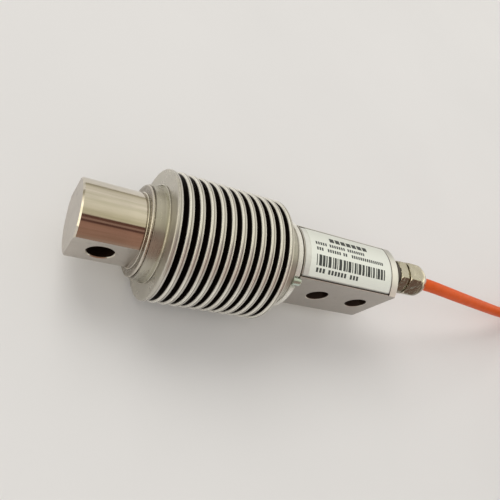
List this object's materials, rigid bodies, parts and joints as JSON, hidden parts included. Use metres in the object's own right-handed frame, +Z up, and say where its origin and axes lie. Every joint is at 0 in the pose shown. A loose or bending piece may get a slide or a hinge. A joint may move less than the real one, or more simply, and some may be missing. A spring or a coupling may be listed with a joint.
{
  "type": "weighing load cell",
  "caption": "Stainless bending-beam load cell with a welded convoluted bellows, flatted mounting end, cable gland and a tied hank of cable with bare ends.",
  "frame": {"origin": "on the floor under the middle of the cell's length, the cell lying on its bellows, cable left out", "axes": "+X along the cell from the load end to the cable gland, +Z up towards the label, -Y out of the front flat"},
  "size_m": [0.3873, 0.0524, 0.0435],
  "materials": {
    "cell_steel": "turned and milled, satin to bright",
    "bellows_steel": "satin, as formed",
    "ring_steel": "bright turned",
    "stub_steel": "bright turned",
    "cover_steel": "satin",
    "label_foil": "matte silvery foil with plain grey bars",
    "strip_laminate": "copper-clad laminate",
    "lead_sleeving": "woven sleeving",
    "pad_foam": "closed foam",
    "board_laminate": "solder-resist green",
    "tinned_brass": "tinned",
    "gasket_fibre": "pressed fibre",
    "nickel_brass": "nickel plated",
    "seal_rubber": "pale grey",
    "clamp_nylon": "natural",
    "gauge_film": "amber film under clear lacquer",
    "resistor_lacquer": "lacquered",
    "core_red": "smooth",
    "core_black": "smooth",
    "core_green": "smooth",
    "core_white": "smooth",
    "cable_jacket": "smooth, half matte",
    "tie_nylon": "ribbed",
    "shrink_sleeve": "shrunk"
  },
  "bodies": {
    "root": {"measuring_body": "cell_steel", "bellows": "bellows_steel", "load_end_ring": "ring_steel", "fixed_end_ring": "ring_steel", "evacuation_stub": "stub_steel", "terminal_cover": "cover_steel", "rating_label": "label_foil", "terminal_strip_front": "strip_laminate", "terminal_strip_back": "strip_laminate", "gauge_leads_front": "lead_sleeving", "gauge_leads_back": "lead_sleeving", "board_pad": "pad_foam", "compensation_board": "board_laminate", "gauge_side_posts": "tinned_brass", "cable_side_posts": "tinned_brass", "gland_gasket": "gasket_fibre", "gland_body": "nickel_brass", "gland_nut": "nickel_brass", "gland_seal": "seal_rubber", "gland_clamp": "clamp_nylon", "strain_gauge_load_front": "gauge_film", "strain_gauge_load_back": "gauge_film", "strain_gauge_fixed_front": "gauge_film", "strain_gauge_fixed_back": "gauge_film", "trim_resistor_1": "resistor_lacquer", "trim_resistor_2": "resistor_lacquer", "trim_resistor_3": "resistor_lacquer", "inner_core_red": "core_red", "inner_core_black": "core_black", "inner_core_green": "core_green", "inner_core_white": "core_white", "cable": "cable_jacket", "cable_hank": "cable_jacket", "hank_tie_back": "tie_nylon", "hank_tie_front": "tie_nylon", "jacket_sleeve": "shrink_sleeve", "tail_red": "core_red", "tail_black": "core_black", "tail_green": "core_green", "tail_white": "core_white", "ferrules": "tinned_brass"}
  },
  "joints": []
}
